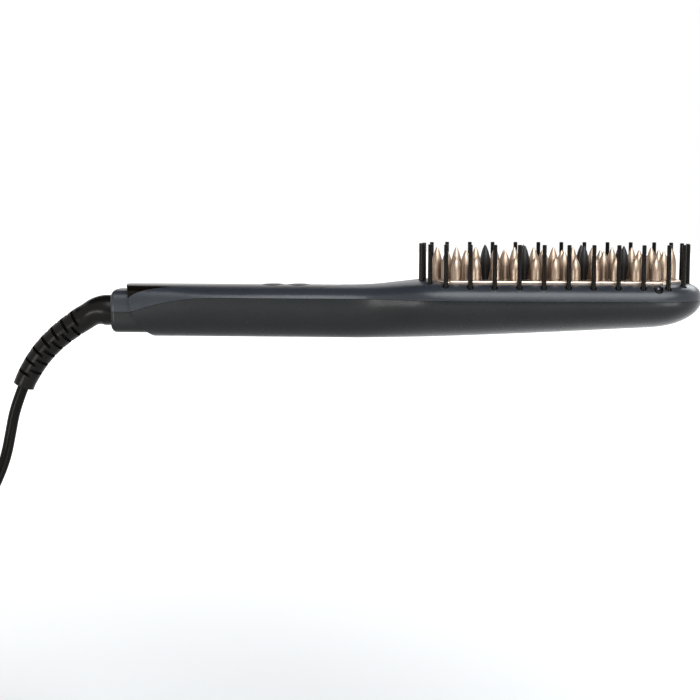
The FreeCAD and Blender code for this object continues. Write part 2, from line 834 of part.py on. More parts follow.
def control_board():
    length = board_end_x - board_start_x
    board = block(length, 2 * board_half_width, board_thickness, board_start_x + length / 2, 0, board_bottom)
    holes = [cylinder(board_screw_shank + sheet_hole_clearance, Vector(x, y, board_bottom), axis_z,
                      board_thickness) for x, y in board_screw_places()]
    return board.cut(holes)


def switch_body(x):
    depth = plunger_depth + button_travel + plunger_clearance
    bore = cylinder(plunger_radius + plunger_clearance, Vector(x, 0, switch_top - depth), axis_z, depth)
    return block(switch_width, switch_width, switch_height, x, 0, board_top).cut(bore)


def switch_plunger(x):
    return cylinder(plunger_radius, Vector(x, 0, switch_top - plunger_depth), axis_z,
                    plunger_depth + plunger_proud)


def button(x):
    """A round button with a dished top, a flange that stops it under the housing and a post to its switch."""
    cap_top = handle_top + button_proud
    flange_top = surface_height(x, button_flange_radius, wall) - button_flange_drop
    flange_bottom_height = flange_top - button_flange_thickness
    cap = cylinder(button_radius, Vector(x, 0, flange_bottom_height), axis_z, cap_top - flange_bottom_height)
    rim = [edge for edge in cap.Edges if edge.BoundBox.ZMin > cap_top - button_edge_round]
    cap = cap.makeFillet(button_edge_round, rim)
    dish_half = button_radius - 2 * button_edge_round
    dish_radius = (dish_half ** 2 + button_dish ** 2) / (2 * button_dish)
    dish = Part.makeSphere(dish_radius, Vector(x, 0, cap_top + dish_radius - button_dish))
    flange = cylinder(button_flange_radius, Vector(x, 0, flange_bottom_height), axis_z,
                      button_flange_thickness)
    post = cylinder(button_post_radius, Vector(x, 0, plunger_top), axis_z, flange_bottom_height - plunger_top)
    return cap.cut(dish).fuse([flange, post]).removeSplitter()


def ready_light_pipe():
    bottom = board_top + led_height + led_gap
    flange_top = surface_height(light_x, light_flange_radius, wall) - light_flange_drop
    pipe = cylinder(light_radius, Vector(light_x, 0, bottom), axis_z, handle_top - bottom)
    flange = cylinder(light_flange_radius, Vector(light_x, 0, flange_top - light_flange_thickness), axis_z,
                      light_flange_thickness)
    return pipe.fuse(flange).removeSplitter()


def ion_outlets(skin):
    liner = cylinder(outlet_radius - outlet_clearance, outlet_end, -axis_y, overrun)
    liner = liner.cut(cylinder(outlet_bore, outlet_end, -axis_y, overrun)).common(skin)
    return Part.makeCompound(mirror_pair(liner))


def ion_needles():
    return Part.makeCompound(mirror_pair(cylinder(needle_radius, outlet_end, -axis_y, needle_length)))


def swivel_bush():
    body = cylinder(bush_radius, Vector(swivel_face_x, 0, 0), axis_x, bush_neck_x - swivel_face_x)
    collar = cylinder(collar_radius, Vector(collar_x, 0, 0), axis_x, collar_length)
    neck = cylinder(bush_neck_radius, Vector(bush_neck_x, 0, 0), axis_x, bush_end_x - bush_neck_x)
    bore = cylinder(bush_bore, Vector(swivel_face_x, 0, 0), axis_x, bush_end_x - swivel_face_x)
    return body.fuse([collar, neck]).cut(bore).removeSplitter()


def slip_rings():
    solids = []
    for x in ring_places:
        start = Vector(x - ring_width / 2, 0, 0)
        ring = cylinder(ring_radius, start, axis_x, ring_width)
        solids.append(ring.cut(cylinder(bush_neck_radius + ring_fit, start, axis_x, ring_width)))
    return Part.makeCompound(solids)


def contact_springs():
    """One leaf under each slip ring, with its foot drawn out to its own side for the wire."""
    leaf_top = -ring_radius - contact_gap
    solids = []
    for x, side in zip(ring_places, (-1, 1)):
        profile = [
            (contact_foot_y, holder_top), (contact_bend_y, holder_top),
            (-contact_reach, leaf_top - contact_thickness), (-contact_reach, leaf_top),
            (contact_bend_y, contact_foot_top), (contact_foot_y, contact_foot_top),
        ]
        points = [Vector(x - contact_width / 2, side * y, z) for y, z in profile]
        solids.append(Part.Face(Part.makePolygon(points + points[:1])).extrude(Vector(contact_width, 0, 0)))
    return Part.makeCompound(solids)


def bent_path(points, bend):
    """Straight runs joined by tangent arcs: of radius bend, or without one as large as the runs allow."""
    edges = []
    radii = []
    start = points[0]
    for before, corner, after in zip(points, points[1:], points[2:]):
        back = before - corner
        ahead = after - corner
        half_turn = (math.pi - back.getAngle(ahead)) / 2
        shorter = min(back.Length, ahead.Length)
        radius = bend or arc_run_share * shorter / math.tan(half_turn)
        reach = radius * math.tan(half_turn)
        back.normalize()
        ahead.normalize()
        arc_start = corner + back * reach
        arc_end = corner + ahead * reach
        inward = back + ahead
        inward.normalize()
        arc_middle = corner + inward * (radius / math.cos(half_turn) - radius)
        if (arc_start - start).Length > shortest_run:
            edges.append(Part.makeLine(start, arc_start))
        edges.append(Part.Arc(arc_start, arc_middle, arc_end).toShape())
        radii.append(radius)
        start = arc_end
    edges.append(Part.makeLine(start, points[-1]))
    return edges, radii


def tube(edges, radius):
    path = Part.Wire(edges)
    first = edges[0]
    direction = first.tangentAt(first.FirstParameter)
    section = Part.Wire(Part.makeCircle(radius, first.valueAt(first.FirstParameter), direction))
    return path.makePipeShell([section], True, False)


def mains_wires():
    end_x = board_start_x + mains_wire_board_inset
    solids = []
    for x, side in zip(ring_places, (-1, 1)):
        y = side * mains_wire_y
        points = [Vector(x, y, contact_foot_top), Vector(x, y, mains_wire_level),
                  Vector(end_x, y, mains_wire_level), Vector(end_x, y, board_bottom)]
        solids.append(tube(bent_path(points, wire_bend)[0], wire_radius))
    return Part.makeCompound(solids)


def heater_wires():
    start_x = board_end_x - heater_wire_board_inset
    points = [Vector(start_x, heater_wire_y, board_bottom), Vector(start_x, heater_wire_y, heater_wire_level),
              Vector(heater_wire_end_x, heater_wire_y, heater_wire_level),
              Vector(heater_wire_end_x, heater_wire_y, clamp_bottom)]
    wire = tube(bent_path(points, wire_bend)[0], wire_radius)
    return Part.makeCompound(mirror_pair(wire))


def boot_frame(distance):
    """Centre, direction and radius of the bend relief at a distance along it from the swivel."""
    if distance <= neck_run:
        return Vector(swivel_face_x - distance, 0, 0), Vector(-1, 0, 0), boot_neck_radius
    centre = Vector(boot_neck_end_x, 0, 0)
    turn = 0.0
    bent = distance - neck_run
    for bend, run in zip(boot_bends, boot_runs):
        part_run = min(bent, run)
        end_turn = turn + part_run / bend
        across = math.sin(turn) - math.sin(end_turn)
        down = math.cos(end_turn) - math.cos(turn)
        centre += Vector(across, 0, down) * bend
        turn = end_turn
        bent -= part_run
    elbow_run = boot_runs[0]
    after_elbow = max(distance - neck_run - elbow_run, 0.0)
    radius = boot_neck_radius
    radius += (boot_elbow_radius - boot_neck_radius) * min((distance - neck_run) / elbow_run, 1.0)
    radius += (boot_end_radius - boot_elbow_radius) * after_elbow / taper_run
    return centre, Vector(-math.cos(turn), 0, -math.sin(turn)), radius


def boot_slots():
    """Staggered slots, two to a ring, turned a quarter from one ring to the next."""
    slots = []
    for index in range(slot_count):
        centre, along, radius = boot_frame(slot_start + slot_pitch * index)
        upward = axis_y.cross(along)
        lean = math.radians(90 * (index % 2) - slot_lean)
        outward = axis_y * math.cos(lean) + upward * math.sin(lean)
        width = 2 * radius * slot_reach_share
        for side in (outward, -outward):
            turn = FreeCAD.Rotation(along, side.cross(along), side, "XZY")
            corner = Vector(-slot_width / 2, -width / 2, slot_core_radius)
            slot = Part.makeBox(slot_width, width, radius, corner)
            slot.Placement = FreeCAD.Placement(centre, turn)
            slots.append(slot)
    return slots


def cord_boot():
    distances = [0.0, neck_run / 2, neck_run]
    for run in boot_runs:
        start = distances[-1]
        distances += [start + run * step / boot_steps for step in range(1, boot_steps + 1)]
    sections = []
    for distance in distances:
        centre, along, radius = boot_frame(distance)
        sections.append(Part.Wire(Part.makeCircle(radius, centre, along)))
    return Part.makeLoft(sections, True, False).cut(boot_slots())


def coil_halves():
    """Radius and climb of each half turn: in on the first layer, out on the next, and so on."""
    step = coil_pitch / 2
    radius = coil_outer_radius
    inward = True
    halves = []
    for layer in range(coil_layers):
        count = coil_next_halves if layer else coil_first_halves
        for index in range(count):
            halves.append((radius, 0.0))
            radius += -step if inward else step
        if layer < coil_layers - 1:
            halves.append((radius, coil_pitch))
            inward = not inward
            radius += -step if inward else step
    return halves


def coil_edges():
    """The coil's line: a straight lead-in, half turns that start and end on one level, and a lead-out."""
    start = coil_start
    edges = [Part.makeLine(start + Vector(0, 0, cord_diameter), start)]
    side = -1
    for radius, climb in coil_halves():
        end = start + Vector(side * 2 * radius, climb, 0)
        half_chord = (end - start).Length / 2
        middle = (start + end) / 2 + Vector(0, 0, side * half_chord)
        edges.append(Part.Arc(start, middle, end).toShape())
        start = end
        side = -side
    edges.append(Part.makeLine(start, start - Vector(0, 0, cord_diameter)))
    return edges


def least_self_gap(edges):
    """Least clear distance between stretches of the line that aren't neighbours along it."""
    points = Part.Wire(edges).discretize(Distance=cord_radius)
    apart = 4 * math.ceil(cord_diameter / cord_radius)
    least = min(points[one].distanceToPoint(points[two]) for one in range(len(points))
                for two in range(one + apart, len(points)))
    return least - cord_diameter


def cord_tie():
    """A strap round all the turns at the coil's lowest place."""
    middle_x = coil_start.x - coil_outer_radius
    inner_radius = min(radius for radius, climb in coil_halves())
    reach = cord_radius + tie_clearance
    low = coil_start.z - coil_outer_radius - reach
    height = coil_outer_radius - inner_radius + 2 * reach
    depth = coil_pitch * (coil_layers - 1) + 2 * reach
    middle_y = coil_start.y + coil_pitch * (coil_layers - 1) / 2
    strap = block(tie_width, depth + 2 * tie_thickness, height + 2 * tie_thickness, middle_x, middle_y,
                  low - tie_thickness)
    along = [edge for edge in strap.Edges if edge.BoundBox.XLength > tie_width / 2]
    strap = strap.makeFillet(tie_thickness, along)
    return strap.cut(block(tie_width, depth, height, middle_x, middle_y, low))


def plug_pins():
    top = plug_pin_length + plug_pin_root
    solids = []
    for side in (-1, 1):
        base = Vector(plug_entry.x, plug_entry.y + side * plug_pin_spacing / 2, plug_bottom - plug_pin_length)
        outline = [(0, 0), (plug_pin_radius - plug_pin_chamfer, 0), (plug_pin_radius, plug_pin_chamfer),
                   (plug_pin_radius, plug_pin_length), (plug_pin_root_radius, plug_pin_length),
                   (plug_pin_root_radius, top), (0, top)]
        solids.append(turned(outline, base))
    return Part.makeCompound(solids)


def plug_body():
    body = block(plug_depth, plug_width, plug_height, plug_entry.x, plug_entry.y, plug_bottom)
    upright = [edge for edge in body.Edges if edge.BoundBox.ZLength > plug_height / 2]
    body = body.makeFillet(plug_corner, upright)
    rim = [edge for edge in body.Edges if edge.BoundBox.ZMin > plug_top - plug_edge_round]
    body = body.makeFillet(plug_edge_round, rim)
    boot = Part.makeCone(plug_boot_root_radius, plug_boot_tip_radius, plug_boot_length,
                         Vector(plug_entry.x, plug_entry.y, plug_top))
    return body.fuse(boot).cut(plug_pins()).removeSplitter()


def free_cords():
    """The cord in three stretches: down from the bend relief, round the coil and on to the plug."""
    boot_end, along, radius = boot_frame(boot_length)
    lead_points = [boot_end, boot_end + along * cord_first_run] + [Vector(*point) for point in cord_route]
    lead_points.append(coil_start + Vector(0, 0, cord_diameter))
    turns = coil_edges()
    coil_end = turns[-1].valueAt(turns[-1].LastParameter)
    tail_points = [coil_end] + [Vector(*point) for point in tail_route] + [plug_entry]
    lead_edges, lead_radii = bent_path(lead_points, None)
    tail_edges, tail_radii = bent_path(tail_points, None)
    print("lead and tail bends", [round(bend, 1) for bend in lead_radii + tail_radii])
    print("coil's least gap to itself", round(least_self_gap(turns), 3))
    cords = {}
    for name, edges in (("lead", lead_edges), ("coil", turns), ("tail", tail_edges)):
        cords[name] = tube(edges, cord_radius)
        length = Part.Wire(edges).Length
        share = cords[name].Volume / (math.pi * cord_radius ** 2 * length)
        print("cord", name, "length", round(length, 1), "volume over section times length", round(share, 4))
    return cords


def build():
    """Every piece by the name of its node."""
    skin = body_skin(0.0)
    upper, lower, panel = housings(skin)
    cords = free_cords()
    chip_x = (power_button_x + temperature_button_x) / 2
    return {
        "upper_housing": upper,
        "lower_housing": lower,
        "control_panel": panel,
        "power_button": button(power_button_x),
        "temperature_button": button(temperature_button_x),
        "power_switch": switch_body(power_button_x),
        "temperature_switch": switch_body(temperature_button_x),
        "power_switch_plunger": switch_plunger(power_button_x),
        "temperature_switch_plunger": switch_plunger(temperature_button_x),
        "ready_light_pipe": ready_light_pipe(),
        "ready_led": block(led_length, led_width, led_height, light_x, 0, board_top),
        "control_board": control_board(),
        "board_screws": board_screws(),
        "mains_capacitor": block(capacitor_length, capacitor_width, capacitor_height, capacitor_x, 0,
                                 board_top),
        "heater_triac": block(triac_length, triac_width, triac_height, triac_x, 0, board_top),
        "controller_chip": block(chip_length, chip_width, chip_height, chip_x, chip_y, board_top),
        "heating_plate": heating_plate(),
        "heated_bristles": heated_bristles(),
        "cool_tip_bristles": cool_tip_bristles(),
        "guard_pins": guard_pins(),
        "bristle_frame": bristle_frame(),
        "ptc_heaters": ptc_heaters(),
        "insulation_sheet": pierced_sheet(sheet_bottom, sheet_thickness),
        "heater_clamp": pierced_sheet(clamp_bottom, clamp_thickness),
        "clamp_screws": clamp_screws(),
        "temperature_sensor": block(sensor_length, sensor_width, heater_thickness, head_centre_x, 0,
                                    plate_bottom - heater_thickness),
        "thermal_fuse": block(fuse_length, fuse_width, fuse_height, head_centre_x + fuse_offset_x, 0,
                              clamp_bottom - fuse_height),
        "ion_module": block(module_length, module_width, module_height, module_x, 0, module_bottom),
        "ion_outlets": ion_outlets(skin),
        "ion_needles": ion_needles(),
        "swivel_bush": swivel_bush(),
        "slip_rings": slip_rings(),
        "contact_holder": block(holder_length, holder_width, holder_top - holder_bottom, holder_x, 0,
                                holder_bottom),
        "contact_springs": contact_springs(),
        "mains_wires": mains_wires(),
        "heater_wires": heater_wires(),
        "housing_screws": housing_screws(),
        "cord_boot": cord_boot(),
        "cord_lead": cords["lead"],
        "cord_coil": cords["coil"],
        "cord_tail": cords["tail"],
        "cord_tie": cord_tie(),
        "plug_body": plug_body(),
        "plug_pins": plug_pins(),
    }


os.makedirs("parts", exist_ok=True)
for node, shape in build().items():
    print(node, "valid" if shape.isValid() else "NOT VALID", len(shape.Solids), "solids",
          round(shape.Volume, 1), "mm3")
    shape.exportStep("parts/" + node + ".step")
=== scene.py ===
import math

import bpy
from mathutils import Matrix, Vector


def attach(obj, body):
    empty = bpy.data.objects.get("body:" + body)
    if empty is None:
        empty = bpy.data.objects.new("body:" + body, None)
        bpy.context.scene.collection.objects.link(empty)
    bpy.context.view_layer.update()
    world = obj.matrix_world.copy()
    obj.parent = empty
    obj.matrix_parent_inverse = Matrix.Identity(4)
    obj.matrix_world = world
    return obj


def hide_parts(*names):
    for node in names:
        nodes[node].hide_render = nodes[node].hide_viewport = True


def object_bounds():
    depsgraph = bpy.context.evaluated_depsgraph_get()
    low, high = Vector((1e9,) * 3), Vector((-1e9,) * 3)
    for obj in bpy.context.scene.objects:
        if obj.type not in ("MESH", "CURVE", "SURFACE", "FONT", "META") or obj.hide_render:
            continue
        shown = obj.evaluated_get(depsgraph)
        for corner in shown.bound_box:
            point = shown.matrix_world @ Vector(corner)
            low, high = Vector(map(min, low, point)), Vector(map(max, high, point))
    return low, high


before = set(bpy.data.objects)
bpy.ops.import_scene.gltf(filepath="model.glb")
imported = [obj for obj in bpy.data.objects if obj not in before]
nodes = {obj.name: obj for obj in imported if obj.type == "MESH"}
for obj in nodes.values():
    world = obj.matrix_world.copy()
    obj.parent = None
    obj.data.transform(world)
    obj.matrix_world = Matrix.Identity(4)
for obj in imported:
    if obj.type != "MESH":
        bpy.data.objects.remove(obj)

# Looks of the hair straightening brush, in metres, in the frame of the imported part.
cad_low, cad_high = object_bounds()

# Camera, at the photograph's viewing angle
CAMERA_PLACE = Vector((0.103384, -0.653615, 0.054980))
CAMERA_PITCH = math.radians(6.523)
CAMERA_YAW = math.radians(4.85)
CAMERA_LENS = 65.39
SENSOR_WIDTH = 36.0

# Cord, through the same route as the solid
CORD_DIAMETER = 0.0059
CORD_SPLINE_ORDER = 3
CORD_ROUND_STEPS = 6
CORD_LENGTH_STEPS = 6
BOOT_END = Vector((-0.12635978, 0.0, -0.04068816))
BOOT_END_TURN = math.radians(67.0)
CORD_FIRST_RUN = 0.013
CORD_ROUTE = (
    (-0.1342, 0.0, -0.0655), (-0.1370, -0.0012, -0.0800), (-0.1422, -0.0046, -0.0940),
    (-0.1484, -0.0088, -0.1075), (-0.1534, -0.0120, -0.1215),
)
COIL_START = Vector((-0.1534, -0.0120, -0.1430))
COIL_OUTER_RADIUS = 0.0394
COIL_PITCH = 0.00655
COIL_LAYERS = 4
COIL_FIRST_HALVES = 4
COIL_NEXT_HALVES = 3
COIL_POINTS_PER_HALF = 6
TAIL_ROUTE = (
    (-0.1534, 0.00765, -0.1550), (-0.1556, 0.00765, -0.1670), (-0.1596, 0.00765, -0.1785),
    (-0.1618, 0.00765, -0.1900),
)
PLUG_ENTRY = Vector((-0.1618, 0.00765, -0.2020))

# Floor: pale paper under the hanging plug, whose glow fades towards the brush
FLOOR_DROP = 0.004
FLOOR_HALF = 8.0
FLOOR_SHADE = 0.68
FLOOR_ROUGHNESS = 0.9
GLOW_NEAR_RADIUS = 0.25
GLOW_FAR_RADIUS = 1.2
GLOW_NEAR = 0.12
GLOW_FAR = 1.0

# Dark flags: a curved one on the camera's side and a flat one overhead
STUDIO_AIM = Vector((0.08, 0.0, 0.0))
FLAG_SHADE = 0.02
FLAG_ROUGHNESS = 1.0
FLAG_RADIUS = 1.5
FLAG_TOP = 0.34
FLAG_STEPS = 24
FLAG_LEFT = math.radians(-10.0)
FLAG_RIGHT = math.radians(42.0)
CEILING_HEIGHT = 1.2
CEILING_FRONT = -0.40
CEILING_BACK = 1.5
CEILING_HALF = 1.6

# World: white to the eye, half as strong on surfaces
WORLD_FILL = 0.5
WORLD_WHITE = 1.0

# Softboxes. Angles are in degrees, and azimuth counts from the camera's side towards the nose.
SOFTBOXES = {
    "front_top": dict(azimuth=18.0, elevation=51.0, distance=1.4, width=1.5, height=0.90, radiance=6.9,
                      colour=(0.92, 0.96, 1.0)),
    "front_middle": dict(azimuth=14.0, elevation=20.0, distance=1.4, width=0.80, height=0.60, radiance=3.2,
                         colour=(0.92, 0.96, 1.0)),
    "back_right": dict(azimuth=138.0, elevation=36.0, distance=1.5, width=0.80, height=0.80, radiance=5.0,
                       colour=(0.95, 0.98, 1.0)),
    "left_low": dict(azimuth=-39.0, elevation=-8.0, distance=1.3, width=0.40, height=0.20, radiance=13.0,
                     colour=(1.0, 0.98, 0.94)),
    "right_low": dict(azimuth=41.0, elevation=-10.0, distance=0.95, width=0.54, height=0.20, radiance=9.5,
                      colour=(1.0, 0.99, 0.97)),
}

# Noise runs between about the first two values. Scales are in features per metre.
NOISE_LOW = 0.3
NOISE_HIGH = 0.7
CLOUD_SCALE = 45.0
GLOSS_SCALE = 160.0
CLOUD_DETAIL = 1.0
GRAIN_DETAIL = 2.0
MARK_DETAIL = 3.0
GRAIN_DEPTH = 0.0002
GLOSS_SPREAD_SHARE = 0.06
MARK_SPREAD_SHARE = 0.08
EVEN = (1.0, 1.0, 1.0)

# Moulded plastic and rubber, with the pieces that wear each
PLASTICS = {
    "upper_shell": dict(
        dark=(0.016, 0.0187, 0.0232), light=(0.0195, 0.0222, 0.0268), roughness=0.30, specular=0.3,
        grain_scale=900.0, grain_strength=0.008, pieces=("upper_housing",)),
    "lower_shell": dict(
        dark=(0.0088, 0.01, 0.0103), light=(0.0108, 0.012, 0.012), roughness=0.28, specular=0.18,
        grain_scale=900.0, grain_strength=0.002, pieces=("lower_housing",)),
    "panel_black": dict(
        dark=(0.0022, 0.0016, 0.0012), light=(0.0032, 0.0024, 0.0018), roughness=0.12, specular=0.1,
        grain_scale=900.0, grain_strength=0.01, pieces=("control_panel", "ion_outlets")),
    "button_black": dict(
        dark=(0.0022, 0.0018, 0.0014), light=(0.0034, 0.0028, 0.0022), roughness=0.14, specular=0.1,
        grain_scale=900.0, grain_strength=0.01, pieces=("power_button", "temperature_button")),
    "tip_black": dict(
        dark=(0.006, 0.0056, 0.0052), light=(0.0085, 0.008, 0.0075), roughness=0.34, specular=0.22,
        grain_scale=900.0, grain_strength=0.012, pieces=("cool_tip_bristles",)),
    "pin_black": dict(
        dark=(0.003, 0.0024, 0.0018), light=(0.0045, 0.0037, 0.003), roughness=0.26, specular=0.1,
        grain_scale=900.0, grain_strength=0.01, pieces=("guard_pins",)),
    "boot_rubber": dict(
        dark=(0.0025, 0.002, 0.0015), light=(0.0038, 0.0032, 0.0026), roughness=0.26, specular=0.13,
        grain_scale=900.0, grain_strength=0.012, pieces=("cord_boot",)),
    "tie_rubber": dict(
        dark=(0.012, 0.012, 0.012), light=(0.018, 0.018, 0.018), roughness=0.6, specular=0.3,
        grain_scale=1500.0, grain_strength=0.12, pieces=("cord_tie",)),
    "plug_black": dict(
        dark=(0.010, 0.0098, 0.0095), light=(0.014, 0.0135, 0.013), roughness=0.4, specular=0.3,
        grain_scale=1500.0, grain_strength=0.08, pieces=("plug_body",)),
    "light_diffuser": dict(
        dark=(0.44, 0.44, 0.41), light=(0.49, 0.49, 0.46), roughness=0.3, specular=0.3,
        grain_scale=1800.0, grain_strength=0.03, pieces=("ready_light_pipe",)),
    "light_emitter": dict(
        dark=(0.82, 0.79, 0.66), light=(0.86, 0.84, 0.72), roughness=0.2, specular=0.3,
        grain_scale=1800.0, grain_strength=0.02, pieces=("ready_led",)),
    "board_green": dict(
        dark=(0.006, 0.05, 0.022), light=(0.009, 0.062, 0.03), roughness=0.35, specular=0.3,
        grain_scale=700.0, grain_strength=0.10, pieces=("control_board",)),
    "electronics_black": dict(
        dark=(0.006, 0.006, 0.007), light=(0.010, 0.010, 0.011), roughness=0.45, specular=0.3,
        grain_scale=2000.0, grain_strength=0.12,
        pieces=("heater_triac", "controller_chip", "power_switch_plunger", "temperature_switch_plunger")),
    "capacitor_yellow": dict(
        dark=(0.60, 0.40, 0.03), light=(0.66, 0.46, 0.05), roughness=0.3, specular=0.3,
        grain_scale=1200.0, grain_strength=0.04, pieces=("mains_capacitor",)),
    "switch_white": dict(
        dark=(0.62, 0.62, 0.59), light=(0.68, 0.68, 0.65), roughness=0.42, specular=0.3,
        grain_scale=1600.0, grain_strength=0.06,
        pieces=("power_switch", "temperature_switch", "temperature_sensor", "thermal_fuse")),
    "frame_black": dict(
        dark=(0.008, 0.008, 0.008), light=(0.012, 0.012, 0.012), roughness=0.5, specular=0.3,
        grain_scale=1400.0, grain_strength=0.12, pieces=("bristle_frame",)),
    "insulation_amber": dict(
        dark=(0.50, 0.20, 0.015), light=(0.58, 0.26, 0.025), roughness=0.25, specular=0.3,
        grain_scale=700.0, grain_strength=0.05, pieces=("insulation_sheet",)),
    "module_grey": dict(
        dark=(0.07, 0.075, 0.082), light=(0.085, 0.09, 0.10), roughness=0.5, specular=0.3,
        grain_scale=900.0, grain_strength=0.10, pieces=("ion_module",)),
    "bush_grey": dict(
        dark=(0.045, 0.045, 0.048), light=(0.055, 0.055, 0.058), roughness=0.4, specular=0.3,
        grain_scale=1500.0, grain_strength=0.05, pieces=("swivel_bush", "contact_holder")),
    "wire_jacket": dict(
        dark=(0.42, 0.018, 0.010), light=(0.48, 0.024, 0.014), roughness=0.45, specular=0.3,
        grain_scale=1500.0, grain_strength=0.06, pieces=("mains_wires", "heater_wires")),
    "cord_jacket": dict(
        dark=(0.0025, 0.0021, 0.0016), light=(0.004, 0.0034, 0.0028), roughness=0.24, specular=0.07,
        grain_scale=900.0, grain_strength=0.01, pieces=()),
}

# Metals. Their marks run along the axis with the small stretch.
METALS = {
    "plate_champagne": dict(
        dark=(0.50, 0.40, 0.32), light=(0.54, 0.44, 0.36), roughness=0.30, mark_scale=1500.0,
        stretch=(0.1, 1.0, 1.0), mark_strength=0.02, pieces=("heating_plate",)),
    "bristle_champagne": dict(
        dark=(0.315, 0.233, 0.172), light=(0.345, 0.259, 0.193), roughness=0.37, mark_scale=1500.0,
        stretch=(1.0, 1.0, 0.2), mark_strength=0.02, pieces=("heated_bristles",)),
    "plug_pin_metal": dict(
        dark=(0.66, 0.64, 0.60), light=(0.72, 0.70, 0.66), roughness=0.24, mark_scale=1200.0,
        stretch=(1.0, 1.0, 0.1), mark_strength=0.02, pieces=("plug_pins",)),
    "fastener_steel": dict(
        dark=(0.36, 0.36, 0.37), light=(0.44, 0.44, 0.45), roughness=0.3, mark_scale=1600.0,
        stretch=(1.0, 1.0, 0.3), mark_strength=0.05,
        pieces=("board_screws", "clamp_screws", "housing_screws", "ion_needles")),
    "heater_foil": dict(
        dark=(0.54, 0.54, 0.55), light=(0.60, 0.60, 0.61), roughness=0.4, mark_scale=900.0,
        stretch=(0.1, 1.0, 1.0), mark_strength=0.05, pieces=("ptc_heaters",)),
    "clamp_steel": dict(
        dark=(0.32, 0.32, 0.33), light=(0.38, 0.38, 0.39), roughness=0.35, mark_scale=1100.0,
        stretch=(0.1, 1.0, 1.0), mark_strength=0.05, pieces=("heater_clamp",)),
    "contact_brass": dict(
        dark=(0.56, 0.36, 0.09), light=(0.62, 0.42, 0.12), roughness=0.28, mark_scale=1300.0,
        stretch=(1.0, 0.1, 1.0), mark_strength=0.04, pieces=("slip_rings", "contact_springs")),
}


def new_material(name):
    material = bpy.data.materials.new(name)
    material.use_nodes = True
    tree = material.node_tree
    return material, tree.nodes["Principled BSDF"], tree


def add_node(tree, kind, **values):
    made = tree.nodes.new(kind)
    for key, value in values.items():
        setattr(made, key, value)
    return made


def grey(shade):
    return (shade, shade, shade, 1.0)


def noise_field(tree, scale, detail, stretch):
    """A noise value over the piece's own coordinates."""
    place = add_node(tree, "ShaderNodeTexCoord")
    mapping = add_node(tree, "ShaderNodeMapping")
    mapping.inputs["Scale"].default_value = stretch
    noise = add_node(tree, "ShaderNodeTexNoise")
    noise.inputs["Scale"].default_value = scale
    noise.inputs["Detail"].default_value = detail
    tree.links.new(place.outputs["Object"], mapping.inputs["Vector"])
    tree.links.new(mapping.outputs["Vector"], noise.inputs["Vector"])
    return noise.outputs["Fac"]


def spread(tree, field, low, high):
    """The noise value stretched to run from low to high."""
    ramp = add_node(tree, "ShaderNodeMapRange")
    ramp.inputs["From Min"].default_value = NOISE_LOW
    ramp.inputs["From Max"].default_value = NOISE_HIGH
    ramp.inputs["To Min"].default_value = low
    ramp.inputs["To Max"].default_value = high
    tree.links.new(field, ramp.inputs["Value"])
    return ramp.outputs["Result"]


def cloudy_colour(tree, scale, dark, light):
    """A colour that drifts between dark and light."""
    mix = add_node(tree, "ShaderNodeMix", data_type="RGBA")
    mix.inputs["A"].default_value = (*dark, 1.0)
    mix.inputs["B"].default_value = (*light, 1.0)
    clouds = spread(tree, noise_field(tree, scale, CLOUD_DETAIL, EVEN), 0.0, 1.0)
    tree.links.new(clouds, mix.inputs["Factor"])
    return mix.outputs["Result"]


def uneven(tree, field, value, share):
    """The value, made uneven by the share."""
    return spread(tree, field, value * (1 - share), value * (1 + share))


def bump(tree, shader, field, strength):
    made = add_node(tree, "ShaderNodeBump")
    made.inputs["Strength"].default_value = strength
    made.inputs["Distance"].default_value = GRAIN_DEPTH
    tree.links.new(field, made.inputs["Height"])
    tree.links.new(made.outputs["Normal"], shader.inputs["Normal"])


def moulded(name, dark, light, roughness, specular, grain_scale, grain_strength, pieces):
    """Moulded plastic or rubber: a fine grain, faint cloudy colour and uneven gloss."""
    material, shader, tree = new_material(name)
    tree.links.new(cloudy_colour(tree, CLOUD_SCALE, dark, light), shader.inputs["Base Color"])
    gloss = noise_field(tree, GLOSS_SCALE, CLOUD_DETAIL, EVEN)
    tree.links.new(uneven(tree, gloss, roughness, GLOSS_SPREAD_SHARE), shader.inputs["Roughness"])
    shader.inputs["Specular IOR Level"].default_value = specular
    bump(tree, shader, noise_field(tree, grain_scale, GRAIN_DETAIL, EVEN), grain_strength)
    paint(material, pieces)
    return material


def worked_metal(name, dark, light, roughness, mark_scale, stretch, mark_strength, pieces):
    """Metal with fine turning, rolling or drawing marks."""
    material, shader, tree = new_material(name)
    shader.inputs["Metallic"].default_value = 1.0
    tree.links.new(cloudy_colour(tree, GLOSS_SCALE, dark, light), shader.inputs["Base Color"])
    marks = noise_field(tree, mark_scale, MARK_DETAIL, stretch)
    tree.links.new(uneven(tree, marks, roughness, MARK_SPREAD_SHARE), shader.inputs["Roughness"])
    bump(tree, shader, marks, mark_strength)
    paint(material, pieces)


def paint(material, pieces):
    for piece in pieces:
        mesh = nodes[piece].data
        mesh.materials.clear()
        mesh.materials.append(material)


